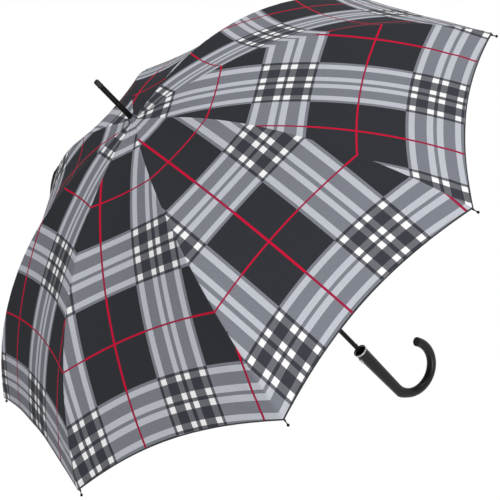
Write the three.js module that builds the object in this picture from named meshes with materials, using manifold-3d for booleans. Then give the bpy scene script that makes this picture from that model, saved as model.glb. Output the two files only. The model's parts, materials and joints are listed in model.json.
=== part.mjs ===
// Automatic stick umbrella, open. Millimetres, +Z towards the ferrule.
// Origin: on the shaft axis, in the middle of the straight grip of the crook handle.
import * as THREE from 'three';
import { mergeVertices } from 'three/addons/utils/BufferGeometryUtils.js';
import Module from 'manifold-3d';

// ---------------------------------------------------------------- driving dimensions
const CLEARANCE = 0.3; // between any two neighbouring pieces
const ARMS = 8; // ribs, and one stretcher and one strut for each
const NOTCH_Z = 675; // rib hinges above the origin
const COLLAR_DROP = 620; // rib hinges to the handle collar's top edge
const SHAFT_R = 4.3;
const SHAFT_BORE_R = 3.6;
const HINGE_R = 10; // rib, stretcher and strut hinges all lie this far from the axis
const SLOT_ROOT_R = 7.3; // inner end of the slots that the arms' thin ends sit in

const RIB_LENGTH = 597; // along the curve, hinge to hem corner
const RIB_BEND = THREE.MathUtils.degToRad(54.2); // the open rib turns down by this much over its length
const RIB_TIP = 11; // wire end beyond the hem corner
const FOLD_ANGLE = THREE.MathUtils.degToRad(60.8); // each rib swings down this far when the canopy closes
const STRETCHER_AT = 300; // stretcher hinge, along the rib
const STRUT_AT = 90; // strut hinge, along the stretcher
const LUG_DROP = 4.5; // hinge centre to the bar that carries its lug

const BAR_WIDTH = 3;
const BAR_HEIGHT = 3;
const BLADE = 1.6; // thickness of eyes, lugs and the thin ends in the slots
const BLADE_LENGTH = 18;
const EYE_R = 2.4;
const PIN_R = 0.6; // arm hinges
const CROSS_PIN_R = 1; // stop, notch and handle pins
const LATCH_PIN_R = 0.8;
const CUT = 1; // a cutting tool reaches this far past the surface that it opens

const CLOTH_INNER = 3.0; // cloth's inner face above a rib's centre line
const CLOTH_OUTER = 4.2;
const CLOTH_START = 0.5; // along the rib, just outside the cup
const SCALLOP = 33; // the hem's middle lies this much nearer the top than its corners
const SCALLOP_GROWTH = 2.2; // how fast the cross threads bow on the way down
const SAG = 8; // inward, in the middle of each gore

const COLLAR_R = 13;
const GRIP_TOP_R = 11.8;
const GRIP_END_R = 9.6;
const CROOK_R = 8.7; // half the thickness of the crook
const GRIP_LENGTH = 117; // collar's top edge to the start of the bend
const CROOK_BEND_R = 48;
const CROOK_ARC = THREE.MathUtils.degToRad(212);
const CROOK_AZIMUTH = THREE.MathUtils.degToRad(-12.4);

const FERRULE_R = 4.5;
const FERRULE_END = 97; // above the rib hinges
const CAP_LENGTH = 13; // the ferrule's plastic end
const SPIGOT_R = 2.6; // steel core inside the cap
const SPIGOT_LENGTH = 8;
const LATCH_ARM = 15; // latch pin to hook, and to the button's stem
const HOOK_REACH = 6.3; // hook's tip, from the axis

// ---------------------------------------------------------------- derived places
const GORE_HALF = Math.PI / ARMS;
const BEND_R = RIB_LENGTH / RIB_BEND;
const COLLAR_Z = NOTCH_Z - COLLAR_DROP;
const GRIP_END_Z = COLLAR_Z - GRIP_LENGTH;
const LATCH_PIN_Z = COLLAR_Z - 2;
const SLIDE_BORE_R = SHAFT_R + CLEARANCE;

// A point `along` the rib's centre line, and `above` it, as [radius, height over the hinges].
function ribPoint(along, above = 0) {
  const slope = along / BEND_R;
  return [
    HINGE_R + (BEND_R + above) * Math.sin(slope),
    (BEND_R + above) * Math.cos(slope) - BEND_R,
  ];
}

// The stretcher hinge and the rib hinge are equally far from the stretcher's two ends, so its inner end
// stays at HINGE_R while the runner moves. The strut repeats the same triangle on a smaller scale.
const [STRETCHER_HINGE_X, STRETCHER_HINGE_Z] = ribPoint(STRETCHER_AT, -LUG_DROP);
const STRETCHER_LENGTH = Math.hypot(STRETCHER_HINGE_X - HINGE_R, STRETCHER_HINGE_Z);
const STRETCHER_RISE = Math.atan2(-STRETCHER_HINGE_Z, STRETCHER_HINGE_X - HINGE_R);
const RUNNER_DROP = 2 * STRETCHER_LENGTH * Math.sin(STRETCHER_RISE);
const STRUT_LENGTH = Math.hypot(STRUT_AT, LUG_DROP);
const STRUT_RISE = STRETCHER_RISE + Math.atan2(LUG_DROP, STRUT_AT);
const SLIDER_GAP = 2 * STRUT_LENGTH * Math.sin(STRUT_RISE);

// ---------------------------------------------------------------- materials
function finish(color, roughness, metalness) {
  return new THREE.MeshStandardMaterial({ color, roughness, metalness });
}
const BLACK_STEEL = finish(0x141416, 0.32, 0.8);
const BRIGHT_STEEL = finish(0xb8bbc0, 0.25, 1);
const BLACK_PLASTIC = finish(0x17171a, 0.5, 0);
const SOFT_TOUCH = finish(0x242426, 0.62, 0);
const CHROME = finish(0xd9dadd, 0.12, 1);
const CANOPY_CLOTH = finish(0x4a4c54, 0.9, 0);
const STRAP_CLOTH = finish(0x26272b, 0.9, 0);

// ---------------------------------------------------------------- solids
const wasm = await Module();
wasm.setup();

// A closed geometry as a solid that can be joined and cut.
function solid(geometry) {
  const bare = geometry.clone();
  bare.deleteAttribute('normal');
  bare.deleteAttribute('uv');
  const merged = mergeVertices(bare, 1e-4);
  return new wasm.Manifold(new wasm.Mesh({
    numProp: 3,
    vertProperties: new Float32Array(merged.attributes.position.array),
    triVerts: new Uint32Array(merged.index.array),
  }));
}

function named(name, shape, material) {
  const { vertProperties, triVerts } = shape.getMesh();
  const geometry = new THREE.BufferGeometry();
  geometry.setAttribute('position', new THREE.BufferAttribute(vertProperties, 3));
  geometry.setIndex(new THREE.BufferAttribute(triVerts, 1));
  geometry.computeVertexNormals();
  const mesh = new THREE.Mesh(geometry, material);
  mesh.name = name;
  return mesh;
}

const joined = (shapes) => shapes.reduce((whole, next) => whole.add(next));
const cutBy = (shape, tools) => tools.reduce((left, tool) => left.subtract(tool), shape);

// Turned piece from [radius, height] pairs. A ring's outline comes back to its first pair.
function turned(outline, segments = 20) {
  const points = outline.map(([radius, height]) => new THREE.Vector2(radius, height));
  return solid(new THREE.LatheGeometry(points, segments).rotateX(Math.PI / 2));
}

function ring(inner, outer, low, high, segments = 20) {
  return turned([[inner, low], [outer, low], [outer, high], [inner, high], [inner, low]], segments);
}

function box(x0, x1, y0, y1, z0, z1) {
  const geometry = new THREE.BoxGeometry(x1 - x0, y1 - y0, z1 - z0);
  return solid(geometry.translate((x0 + x1) / 2, (y0 + y1) / 2, (z0 + z1) / 2));
}

// Round bar between two points on the same horizontal line through the axis, at an azimuth.
function crossPin(radius, length, z, azimuth, segments = 8) {
  const geometry = new THREE.CylinderGeometry(radius, radius, length, segments);
  return solid(geometry.rotateZ(-Math.PI / 2).rotateZ(azimuth).translate(0, 0, z));
}

const turnedTo = (shape, azimuth) => shape.rotate([0, 0, THREE.MathUtils.radToDeg(azimuth)]);
const everyArm = (make) => Array.from({ length: ARMS }, (_, i) => make((i * 2 * Math.PI) / ARMS));

// Plate of the given thickness in the arm's own plane, from a shape drawn in [radius, height].
function plate(shape, thickness, sideways = 0) {
  const options = { depth: thickness, bevelEnabled: false, curveSegments: 3 };
  const geometry = new THREE.ExtrudeGeometry(shape, options);
  return solid(geometry.rotateX(Math.PI / 2).translate(0, sideways + thickness / 2, 0));
}

function outline(points) {
  return new THREE.Shape(points.map(([x, z]) => new THREE.Vector2(x, z)));
}

function disc([x, z], radius, width, sideways = 0) {
  const shape = new THREE.Shape();
  shape.absarc(x, z, radius, 0, 2 * Math.PI);
  return plate(shape, width, sideways);
}

// Straight bar of rectangular section between two points of the arm's plane.
function bar([x0, z0], [x1, z1], height, width, sideways = 0) {
  const length = Math.hypot(x1 - x0, z1 - z0);
  const across = [(-(z1 - z0) / length) * (height / 2), ((x1 - x0) / length) * (height / 2)];
  const corners = [
    [x0 - across[0], z0 - across[1]],
    [x1 - across[0], z1 - across[1]],
    [x1 + across[0], z1 + across[1]],
    [x0 + across[0], z0 + across[1]],
  ];
  return plate(outline(corners), width, sideways);
}

// Flat link with round ends of `radius` about two points of the arm's plane.
function link([x0, z0], [x1, z1], radius, width, sideways = 0) {
  const facing = Math.atan2(z1 - z0, x1 - x0);
  const shape = new THREE.Shape();
  shape.absarc(x1, z1, radius, facing - Math.PI / 2, facing + Math.PI / 2);
  shape.absarc(x0, z0, radius, facing + Math.PI / 2, facing + 1.5 * Math.PI);
  return plate(shape, width, sideways);
}

const between = ([x0, z0], [x1, z1], along) => {
  const share = along / Math.hypot(x1 - x0, z1 - z0);
  return [x0 + (x1 - x0) * share, z0 + (z1 - z0) * share];
};

// ---------------------------------------------------------------- shaft, notch and ferrule
const umbrella = new THREE.Group();
const top = new THREE.Group(); // heights inside it count from the rib hinges
top.position.z = NOTCH_Z;
umbrella.add(top);

const SLIDER_Z = -RUNNER_DROP + SLIDER_GAP;
const STOP_PIN_Z = SLIDER_Z + 9;
const STOP_PIN_LENGTH = 13;
const NOTCH_PIN_Z = -11;
const NOTCH_PIN_LENGTH = 13.6;
const SHAFT_TOP = 12;
const WINDOW_HALF = 1.6; // half the width of the latch's two windows
const HOOK_ROOM = 5;
const STEM_ROOM = 2;
const SHAFT_END_Z = COLLAR_Z - 72;
const HANDLE_PIN_Z = COLLAR_Z - 58;

function shaftTube() {
  const tube = ring(SHAFT_BORE_R, SHAFT_R, SHAFT_END_Z - NOTCH_Z, SHAFT_TOP);
  const latchZ = LATCH_PIN_Z - NOTCH_Z;
  const hookZ = latchZ + LATCH_ARM;
  const stemZ = latchZ - LATCH_ARM;
  const hookWindow = box(0, SHAFT_R + CUT, -WINDOW_HALF, WINDOW_HALF, hookZ - HOOK_ROOM, hookZ + HOOK_ROOM);
  const stemWindow = box(-SHAFT_R - CUT, 0, -WINDOW_HALF, WINDOW_HALF, stemZ - STEM_ROOM, stemZ + STEM_ROOM);
  const acrossLatch = CROOK_AZIMUTH + Math.PI / 2;
  const through = 2 * (SHAFT_R + CUT);
  const holes = [
    turnedTo(hookWindow, CROOK_AZIMUTH),
    turnedTo(stemWindow, CROOK_AZIMUTH),
    crossPin(LATCH_PIN_R + CLEARANCE, through, latchZ, acrossLatch),
    crossPin(CROSS_PIN_R + CLEARANCE, through, STOP_PIN_Z, GORE_HALF),
    crossPin(CROSS_PIN_R + CLEARANCE, through, NOTCH_PIN_Z, GORE_HALF),
    crossPin(CROSS_PIN_R + CLEARANCE, through, HANDLE_PIN_Z - NOTCH_Z, acrossLatch),
  ];
  return cutBy(tube, holes);
}
top.add(named('shaft_tube', shaftTube(), BLACK_STEEL));
top.add(named('stop_pin', crossPin(CROSS_PIN_R, STOP_PIN_LENGTH, STOP_PIN_Z, GORE_HALF), BRIGHT_STEEL));

// Crown with one slot for each arm's thin end, used by the notch, the upper slider and the runner.
function slotted(crown, low, high) {
  const slots = everyArm((azimuth) => {
    const half = BLADE / 2 + CLEARANCE;
    return turnedTo(box(SLOT_ROOT_R, 2 * HINGE_R, -half, half, low - CUT, high + CUT), azimuth);
  });
  return cutBy(crown, slots);
}

const CROWN_R = 12.5; // outer radius of the notch and of the upper slider
const NOTCH_LOW = -16;
const NOTCH_HIGH = 1.4;
const notchPinHole = crossPin(CROSS_PIN_R + CLEARANCE, 2 * CROWN_R + CUT, NOTCH_PIN_Z, GORE_HALF);

function topNotch() {
  const crown = turned([
    [SLIDE_BORE_R, NOTCH_LOW], [SLOT_ROOT_R, NOTCH_LOW], [SLOT_ROOT_R + 0.6, NOTCH_LOW / 2],
    [CROWN_R - 0.5, -6], [CROWN_R, -4], [CROWN_R, NOTCH_HIGH], [SLIDE_BORE_R, NOTCH_HIGH],
    [SLIDE_BORE_R, NOTCH_LOW],
  ]);
  const channelHalf = PIN_R + CLEARANCE;
  const wireChannel = ring(HINGE_R - channelHalf, HINGE_R + channelHalf, -channelHalf, channelHalf);
  return cutBy(slotted(crown, NOTCH_LOW, NOTCH_HIGH), [wireChannel, notchPinHole]);
}
top.add(named('top_notch', topNotch(), BLACK_PLASTIC));
top.add(named('notch_pin', crossPin(CROSS_PIN_R, NOTCH_PIN_LENGTH, NOTCH_PIN_Z, GORE_HALF), BRIGHT_STEEL));
top.add(named('notch_wire', solid(new THREE.TorusGeometry(HINGE_R, PIN_R, 6, 24)), BRIGHT_STEEL));

// Cup that the gores' points are gathered over.
const CUP_R = 8.6;
const CUP_LOW = NOTCH_HIGH + CLEARANCE;
const CUP_HIGH = SHAFT_TOP - CLEARANCE;
const canopyCup = turned([
  [SLIDE_BORE_R, CUP_LOW], [CUP_R, CUP_LOW], [CUP_R, CUP_LOW + 2], [FERRULE_R + 1, CUP_HIGH],
  [SLIDE_BORE_R, CUP_HIGH], [SLIDE_BORE_R, CUP_LOW],
]);
top.add(named('canopy_cup', canopyCup, BLACK_PLASTIC));

// The ferrule's stem stands in the shaft, held by the notch pin.
const CAP_START = FERRULE_END - CAP_LENGTH;
const SPIGOT_END = CAP_START + SPIGOT_LENGTH;
const STEM_R = SHAFT_BORE_R - CLEARANCE;
const ferrule = turned([
  [0, NOTCH_LOW], [STEM_R, NOTCH_LOW], [STEM_R, SHAFT_TOP + CLEARANCE], [FERRULE_R, SHAFT_TOP + CLEARANCE],
  [FERRULE_R, CAP_START], [SPIGOT_R, CAP_START], [SPIGOT_R, SPIGOT_END], [0, SPIGOT_END],
]);
top.add(named('ferrule', cutBy(ferrule, [notchPinHole]), BLACK_STEEL));

const CAP_LOW = CAP_START + CLEARANCE;
const CAP_RIM = 0.4; // the cap's raised rim, outwards
const CAP_ROUND = 1.2; // the chamfer round its end
const SOCKET_R = SPIGOT_R + CLEARANCE;
const ferruleCap = turned([
  [SOCKET_R, CAP_LOW], [FERRULE_R + CAP_RIM, CAP_LOW], [FERRULE_R + CAP_RIM, CAP_LOW + 4 * CAP_RIM],
  [FERRULE_R, CAP_LOW + 5 * CAP_RIM], [FERRULE_R, FERRULE_END - CAP_ROUND],
  [FERRULE_R - CAP_ROUND, FERRULE_END], [0, FERRULE_END], [0, SPIGOT_END + CLEARANCE],
  [SOCKET_R, SPIGOT_END + CLEARANCE], [SOCKET_R, CAP_LOW],
]);
top.add(named('ferrule_cap', ferruleCap, BLACK_PLASTIC));

// ---------------------------------------------------------------- runner, upper slider and opening spring
const RUNNER_LOW = -50; // heights on the runner count from its pivots
const RUNNER_HIGH = 8;
const FLANGE_R = 13;
const SLEEVE_R = 9.6;
const HUB_R = SLOT_ROOT_R - CLEARANCE; // what is left inside the slots
const LATCH_GROOVE = 18; // the hook enters this far up the runner's foot

function runner() {
  const sleeve = turned([
    [SLIDE_BORE_R, RUNNER_LOW], [SLEEVE_R - 0.6, RUNNER_LOW], [SLEEVE_R, RUNNER_LOW + 2],
    [SLEEVE_R - 0.4, -24], [SLEEVE_R + 0.8, -12], [FLANGE_R - 0.6, -8], [FLANGE_R, -5],
    [FLANGE_R, 5], [FLANGE_R - 1.4, 6], [HUB_R, 6], [HUB_R, RUNNER_HIGH],
    [SLIDE_BORE_R, RUNNER_HIGH], [SLIDE_BORE_R, RUNNER_LOW],
  ]);
  const half = WINDOW_HALF + CLEARANCE;
  const latchGroove = box(0, FLANGE_R, -half, half, RUNNER_LOW - CUT, RUNNER_LOW + LATCH_GROOVE);
  return cutBy(slotted(sleeve, RUNNER_LOW, RUNNER_HIGH), [turnedTo(latchGroove, CROOK_AZIMUTH)]);
}
const runnerMesh = named('runner', runner(), BLACK_PLASTIC);
runnerMesh.position.z = -RUNNER_DROP;
top.add(runnerMesh);

const SLIDER_LOW = -6;
const SLIDER_HIGH = 7;
const upperSlider = turned([
  [SLIDE_BORE_R, SLIDER_LOW], [CROWN_R - 1.5, SLIDER_LOW], [CROWN_R, -4.4], [CROWN_R, 4], [CROWN_R - 1.1, 5],
  [HUB_R, 5], [HUB_R, SLIDER_HIGH], [SLIDE_BORE_R, SLIDER_HIGH], [SLIDE_BORE_R, SLIDER_LOW],
]);
const sliderMesh = named('upper_slider', slotted(upperSlider, SLIDER_LOW, SLIDER_HIGH), BLACK_PLASTIC);
sliderMesh.position.z = SLIDER_Z;
top.add(sliderMesh);

class Helix extends THREE.Curve {
  constructor(radius, length, turns) {
    super();
    Object.assign(this, { radius, length, turns });
  }

  getPoint(share, target = new THREE.Vector3()) {
    const angle = share * this.turns * 2 * Math.PI;
    return target.set(this.radius * Math.cos(angle), this.radius * Math.sin(angle), share * this.length);
  }
}

function coil(radius, wire, length, turns, sides = 6, stepsPerTurn = 9) {
  const section = new THREE.Shape();
  section.absarc(0, 0, wire, 0, 2 * Math.PI);
  return new THREE.ExtrudeGeometry(section, {
    extrudePath: new Helix(radius, length - 2 * wire, turns),
    steps: turns * stepsPerTurn,
    curveSegments: sides / 2,
    bevelEnabled: false,
  }).translate(0, 0, wire);
}

const SPRING_R = 6;
const SPRING_WIRE_R = 0.6;
const SPRING_TURNS = 8;
const springRoom = SLIDER_GAP + SLIDER_LOW - RUNNER_HIGH - 2 * CLEARANCE;
const mainCoil = coil(SPRING_R, SPRING_WIRE_R, springRoom, SPRING_TURNS);
const mainSpring = named('opening_spring', solid(mainCoil), BRIGHT_STEEL);
mainSpring.position.z = -RUNNER_DROP + RUNNER_HIGH + CLEARANCE;
top.add(mainSpring);

// ---------------------------------------------------------------- folding arms
const HINGE = [HINGE_R, 0];
const STRETCHER_HINGE = [STRETCHER_HINGE_X, STRETCHER_HINGE_Z];
const RUNNER_EYE = [HINGE_R, -RUNNER_DROP];
const SLIDER_EYE = [HINGE_R, SLIDER_Z];
const STRUT_HINGE = [
  HINGE_R + STRUT_LENGTH * Math.cos(STRUT_RISE),
  -RUNNER_DROP + STRUT_LENGTH * Math.sin(STRUT_RISE),
];
const pinHole = (at) => disc(at, PIN_R + CLEARANCE, 2 * BAR_WIDTH);

// Band that follows the rib's curve between two distances along it and two heights above its centre line.
function ribBand(from, to, low, high, steps) {
  const stations = Array.from({ length: steps + 1 }, (_, i) => from + ((to - from) * i) / steps);
  const lower = stations.map((along) => ribPoint(along, low));
  const upper = stations.map((along) => ribPoint(along, high)).reverse();
  return outline([...lower, ...upper]);
}

const RIB_EYE_R = 1.4; // small, so that it stays under the cloth
const ROD_END = RIB_LENGTH - 4; // the rod ends here and its wire goes on
const WIRE_HALF = 0.9;
const BEAD_R = 2.3;

function rib() {
  const half = BAR_HEIGHT / 2;
  const beadAt = RIB_LENGTH + RIB_TIP - BEAD_R;
  const web = plate(ribBand(0, BLADE_LENGTH + 12, -half, RIB_EYE_R - CLEARANCE, 3), BLADE);
  const rod = plate(ribBand(BLADE_LENGTH, ROD_END, -half, half, 12), BAR_WIDTH);
  const wire = plate(ribBand(ROD_END - 4, beadAt, -WIRE_HALF, WIRE_HALF, 2), 2 * WIRE_HALF);
  const [tipX, tipZ] = ribPoint(beadAt);
  const bead = solid(new THREE.SphereGeometry(BEAD_R, 8, 5).translate(tipX, 0, tipZ));
  const eye = disc(HINGE, RIB_EYE_R, BLADE);
  const lug = link(ribPoint(STRETCHER_AT, 1 - BAR_HEIGHT), STRETCHER_HINGE, EYE_R, BLADE);
  return cutBy(joined([web, rod, wire, bead, eye, lug]), [pinHole(HINGE), pinHole(STRETCHER_HINGE)]);
}

const CHEEK = 1; // thickness of a fork's two cheeks
const CHEEK_LENGTH = 14;
const FORK_DEPTH = 9;

// Arm with a thin eye at its inner end and a pinned fork round the other part's lug at its outer end.
function forkedArm(inner, outer) {
  const length = Math.hypot(outer[0] - inner[0], outer[1] - inner[1]);
  const cheekAt = (BLADE + CHEEK) / 2 + CLEARANCE;
  const cheeks = [-cheekAt, cheekAt].map((side) => (
    link(between(inner, outer, length - CHEEK_LENGTH), outer, EYE_R, CHEEK, side)
  ));
  const barEnd = between(inner, outer, length - FORK_DEPTH);
  const parts = [
    link(inner, between(inner, outer, BLADE_LENGTH + 4), EYE_R, BLADE),
    bar(between(inner, outer, BLADE_LENGTH), barEnd, BAR_HEIGHT - 0.2, BAR_WIDTH),
    disc(outer, PIN_R, 2 * (cheekAt + CHEEK)),
    ...cheeks,
  ];
  return cutBy(joined(parts), [pinHole(inner)]);
}

function stretcher() {
  const foot = between(RUNNER_EYE, STRETCHER_HINGE, STRUT_AT);
  const lug = link(foot, STRUT_HINGE, EYE_R, BLADE);
  return cutBy(forkedArm(RUNNER_EYE, STRETCHER_HINGE).add(lug), [pinHole(STRUT_HINGE)]);
}

// ---------------------------------------------------------------- canopy
// Half of the gore next to a rib, on its `side` (+1 or -1). A gore's cross threads run straight from rib to
// rib and bow towards the top, so the hem is scalloped.
function halfGore(side) {
  const rows = 10;
  const columns = 3;
  const geometry = new THREE.BoxGeometry(1, 1, 1, rows, columns, 1);
  const position = geometry.attributes.position;
  const spin = new THREE.Vector3(0, 0, 1);
  const point = new THREE.Vector3();
  for (let i = 0; i < position.count; i += 1) {
    const down = position.getX(i) + 0.5;
    const across = position.getY(i) + 0.5; // 0 at the gore's middle, 1 at the rib
    const above = position.getZ(i) > 0 ? CLOTH_OUTER : CLOTH_INNER;
    const thread = CLOTH_START + (RIB_LENGTH - CLOTH_START) * down;
    const slack = 1 - across * across;
    const bow = SCALLOP * (thread / RIB_LENGTH) ** SCALLOP_GROWTH * slack;
    const sag = SAG * Math.sin((Math.PI * thread) / RIB_LENGTH) * slack;
    const [radius, height] = ribPoint(thread - bow, above - sag);
    const edge = radius * Math.sin(GORE_HALF);
    const sideways = CLEARANCE / 2 + (edge - CLEARANCE) * across;
    // In the gore's own frame the rib lies at -GORE_HALF; then the gore is turned to stand beside the rib.
    point.set(radius * Math.cos(GORE_HALF), -sideways, height).applyAxisAngle(spin, GORE_HALF);
    position.setXYZ(i, point.x, -point.y, point.z);
  }
  const half = solid(geometry);
  return side > 0 ? half.mirror([0, 1, 0]) : half;
}

// Strap that is wound round the closed canopy, lying along the seam over one rib.
const STRAP_RIB = 3;
const STRAP_FROM = 330;
const STRAP_TO = 505;
const STRAP_WIDTH = 15;
const STRAP_THICK = 1.2;
const SNAP_INSET = 14; // snap's centre to the strap's end
const STRAP_BASE = CLOTH_OUTER + CLEARANCE;
const strap = plate(ribBand(STRAP_FROM, STRAP_TO, STRAP_BASE, STRAP_BASE + STRAP_THICK, 8), STRAP_WIDTH);

function strapSnap() {
  const along = STRAP_TO - SNAP_INSET;
  const high = 1.8;
  const [x, z] = ribPoint(along, STRAP_BASE + STRAP_THICK + CLEARANCE);
  const button = new THREE.CylinderGeometry(3.6, 5, high, 20).translate(0, high / 2, 0).rotateX(Math.PI / 2);
  return solid(button.rotateY(along / BEND_R).translate(x, 0, z));
}

everyArm((azimuth) => azimuth).forEach((azimuth, i) => {
  const number = i + 1;
  const before = i === 0 ? ARMS : i; // the gore on the rib's other side
  const arm = new THREE.Group();
  arm.rotation.z = azimuth;
  arm.add(named(`rib_${number}`, rib(), BLACK_STEEL));
  arm.add(named(`stretcher_${number}`, stretcher(), BLACK_STEEL));
  arm.add(named(`strut_${number}`, forkedArm(SLIDER_EYE, STRUT_HINGE), BLACK_STEEL));
  arm.add(named(`gore_${number}_near_rib_${number}`, halfGore(1), CANOPY_CLOTH));
  arm.add(named(`gore_${before}_near_rib_${number}`, halfGore(-1), CANOPY_CLOTH));
  if (number === STRAP_RIB) {
    arm.add(named('tie_strap', strap, STRAP_CLOTH));
    arm.add(named('strap_snap', strapSnap(), CHROME));
  }
  top.add(arm);
});

// ---------------------------------------------------------------- handle, collar, button and latch
// Centre line of the handle in the crook's plane: straight down, then round the bend.
const CROOK_ARC_LENGTH = CROOK_BEND_R * CROOK_ARC;
const HANDLE_TOP = COLLAR_Z - 2.4;
const STRAIGHT = HANDLE_TOP - GRIP_END_Z;
const HANDLE_LENGTH = STRAIGHT + CROOK_ARC_LENGTH;
const END_ROUND = CROOK_R / 2; // the crook's tip is rounded over this length

function handlePoint(along) {
  if (along <= STRAIGHT) return { x: 0, z: HANDLE_TOP - along, turn: 0 };
  const turn = (along - STRAIGHT) / CROOK_BEND_R;
  return { x: CROOK_BEND_R * (1 - Math.cos(turn)), z: GRIP_END_Z - CROOK_BEND_R * Math.sin(turn), turn };
}

function handleRadius(along) {
  const intoTip = Math.max(0, along - HANDLE_LENGTH + END_ROUND) / END_ROUND;
  const crook = CROOK_R * Math.sqrt(1 - 0.75 * intoTip * intoTip);
  const taper = THREE.MathUtils.lerp(GRIP_TOP_R, GRIP_END_R, Math.min(along / STRAIGHT, 1));
  return THREE.MathUtils.lerp(taper, crook, THREE.MathUtils.smoothstep(along, STRAIGHT - 10, STRAIGHT + 50));
}

// A cylinder bent along the handle's centre line.
function crookBody() {
  const body = 24;
  const stations = Array.from({ length: body + 1 }, (_, i) => ((HANDLE_LENGTH - END_ROUND) * i) / body);
  stations.push(HANDLE_LENGTH - END_ROUND / 2, HANDLE_LENGTH);
  const geometry = new THREE.CylinderGeometry(1, 1, 1, 12, stations.length - 1);
  const position = geometry.attributes.position;
  for (let i = 0; i < position.count; i += 1) {
    const along = stations[Math.round((0.5 - position.getY(i)) * (stations.length - 1))];
    const { x, z, turn } = handlePoint(along);
    const radius = handleRadius(along);
    const out = position.getX(i) * radius;
    position.setXYZ(i, x + out * Math.cos(turn), -position.getZ(i) * radius, z + out * Math.sin(turn));
  }
  return solid(geometry);
}

const BUTTON_Z = LATCH_PIN_Z - LATCH_ARM;
const BUTTON_HALF_WIDTH = 3.2;
const BUTTON_HALF_HEIGHT = 6.5;
const BUTTON_FACE = GRIP_TOP_R + 1.6;
const RECESS_R = 9.9; // the well that the runner's foot drops into
const RECESS_DEPTH = 6;
const COLLAR_WALL = 2.6;
const COLLAR_DEPTH = 9; // the handle's neck inside the collar
const POCKET_FLOOR = 5.4; // bottom of the button's pocket, from the axis
const STEM_HALF = 0.9;

function handle() {
  const neck = ring(COLLAR_R - COLLAR_WALL, 2 * COLLAR_R, COLLAR_Z - COLLAR_DEPTH, COLLAR_Z + CUT);
  const bore = turned([[0, SHAFT_END_Z - CLEARANCE], [SLIDE_BORE_R, SHAFT_END_Z - CLEARANCE],
    [SLIDE_BORE_R, COLLAR_Z], [0, COLLAR_Z]]);
  const well = turned([[0, COLLAR_Z - RECESS_DEPTH], [RECESS_R, COLLAR_Z - RECESS_DEPTH],
    [RECESS_R, COLLAR_Z + CUT], [0, COLLAR_Z + CUT]]);
  const halfWidth = BUTTON_HALF_WIDTH + CLEARANCE;
  const halfHeight = BUTTON_HALF_HEIGHT + CLEARANCE;
  const reach = 2 * COLLAR_R;
  const [low, high] = [BUTTON_Z - halfHeight, BUTTON_Z + halfHeight];
  const pocket = box(-reach, -POCKET_FLOOR, -halfWidth, halfWidth, low, high);
  const hole = STEM_HALF + 0.5;
  const stemHole = box(-POCKET_FLOOR - CUT, 0, -hole, hole, BUTTON_Z - hole, BUTTON_Z + hole);
  const pinBore = crossPin(CROSS_PIN_R + CLEARANCE, reach, HANDLE_PIN_Z, Math.PI / 2);
  return cutBy(crookBody(), [neck, bore, well, pocket, stemHole, pinBore]);
}

const grip = new THREE.Group(); // +X inside it points to the crook's side
grip.rotation.z = CROOK_AZIMUTH;
umbrella.add(grip);
grip.add(named('handle', handle(), SOFT_TOUCH));
const handlePin = crossPin(CROSS_PIN_R, 2 * GRIP_END_R - CLEARANCE, HANDLE_PIN_Z, Math.PI / 2);
grip.add(named('handle_pin', handlePin, BRIGHT_STEEL));

const COLLAR_IN = COLLAR_R - COLLAR_WALL + CLEARANCE;
const COLLAR_LOW = COLLAR_Z - COLLAR_DEPTH + CLEARANCE;
const collar = turned([
  [COLLAR_IN, COLLAR_LOW], [GRIP_TOP_R + 0.5, COLLAR_LOW], [COLLAR_R - 0.2, COLLAR_LOW + 1.2],
  [COLLAR_R, COLLAR_Z - 1], [COLLAR_R - 0.8, COLLAR_Z], [COLLAR_IN + 0.4, COLLAR_Z],
  [COLLAR_IN, COLLAR_Z - 0.6], [COLLAR_IN, COLLAR_LOW],
]);
grip.add(named('handle_collar', collar, CHROME));

const BUTTON_THICK = 4.4;
const BUTTON_ROUND = 0.8;
const LEVER_HALF = 0.8; // half the thickness of the latch lever
const STEM_TIP = LEVER_HALF + CLEARANCE;
function pushButton() {
  const half = BUTTON_HALF_WIDTH;
  const face = new THREE.Shape();
  face.moveTo(-half, -BUTTON_HALF_HEIGHT + half);
  face.absarc(0, -BUTTON_HALF_HEIGHT + half, half, Math.PI, 2 * Math.PI);
  face.absarc(0, BUTTON_HALF_HEIGHT - half, half, 0, Math.PI);
  const pad = new THREE.ExtrudeGeometry(face, {
    depth: BUTTON_THICK - BUTTON_ROUND,
    bevelThickness: BUTTON_ROUND,
    bevelSize: BUTTON_ROUND,
    bevelOffset: -BUTTON_ROUND,
    bevelSegments: 2,
    curveSegments: 6,
  });
  // The shape's own up is turned to +Z and its depth to -X, so that the pad faces outwards.
  pad.translate(0, 0, -BUTTON_THICK + BUTTON_ROUND).rotateX(Math.PI / 2).rotateZ(-Math.PI / 2);
  pad.translate(-BUTTON_FACE + BUTTON_ROUND, 0, BUTTON_Z);
  const [low, high] = [BUTTON_Z - STEM_HALF, BUTTON_Z + STEM_HALF];
  return solid(pad).add(box(-BUTTON_FACE + 2, -STEM_TIP, -STEM_HALF, STEM_HALF, low, high));
}
grip.add(named('push_button', pushButton(), CHROME));

const BUTTON_BACK = BUTTON_FACE - BUTTON_THICK - BUTTON_ROUND;
const buttonSpring = coil(2.1, 0.3, BUTTON_BACK - POCKET_FLOOR - 2 * CLEARANCE, 3, 6, 10);
buttonSpring.rotateY(Math.PI / 2).translate(-BUTTON_BACK + CLEARANCE, 0, BUTTON_Z);
grip.add(named('button_spring', solid(buttonSpring), BRIGHT_STEEL));

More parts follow.
